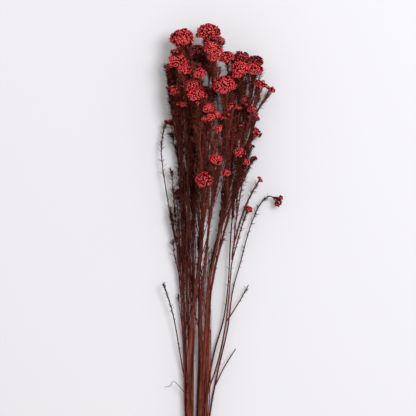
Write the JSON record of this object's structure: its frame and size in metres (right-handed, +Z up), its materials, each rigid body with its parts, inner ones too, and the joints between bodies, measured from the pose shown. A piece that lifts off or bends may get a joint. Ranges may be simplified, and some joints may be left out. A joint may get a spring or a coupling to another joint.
{
  "type": "bunch of dried rice flower",
  "caption": "Bunch of red dried rice flower with bare woody stems, fine needle leaves and dense domed flower heads, tied near the cut ends and lying flat.",
  "frame": {"origin": "on the surface the bunch lies on, under the middle of its bounding box", "axes": "+Y from the cut stem ends to the flower heads, +X across the bunch, +Z up from the surface"},
  "size_m": [0.1608, 0.6002, 0.093],
  "materials": {
    "bark": "matte, fibrous red-brown bark",
    "bloom": "matte, papery dyed buds",
    "band": "plain natural elastic"
  },
  "bodies": {
    "root": {"stem_01": "bark", "head_01a": "bloom", "stem_02": "bark", "head_02a": "bloom", "head_02b": "bloom", "head_02c": "bloom", "head_02d": "bloom", "head_02e": "bloom", "stem_03": "bark", "head_03a": "bloom", "head_03b": "bloom", "head_03c": "bloom", "stem_04": "bark", "head_04a": "bloom", "head_04b": "bloom", "head_04c": "bloom", "stem_05": "bark", "head_05a": "bloom", "head_05b": "bloom", "head_05c": "bloom", "head_05d": "bloom", "stem_06": "bark", "head_06a": "bloom", "head_06b": "bloom", "head_06c": "bloom", "stem_07": "bark", "head_07a": "bloom", "head_07b": "bloom", "head_07c": "bloom", "head_07d": "bloom", "head_07e": "bloom", "stem_08": "bark", "head_08a": "bloom", "head_08b": "bloom", "head_08c": "bloom", "head_08d": "bloom", "head_08e": "bloom", "stem_09": "bark", "head_09a": "bloom", "head_09b": "bloom", "head_09c": "bloom", "stem_10": "bark", "head_10a": "bloom", "head_10b": "bloom", "head_10c": "bloom", "head_10d": "bloom", "head_10e": "bloom", "stem_11": "bark", "head_11a": "bloom", "head_11b": "bloom", "head_11c": "bloom", "stem_12": "bark", "head_12a": "bloom", "head_12b": "bloom", "head_12c": "bloom", "head_12d": "bloom", "stem_13": "bark", "head_13a": "bloom", "band": "band"}
  },
  "joints": []
}
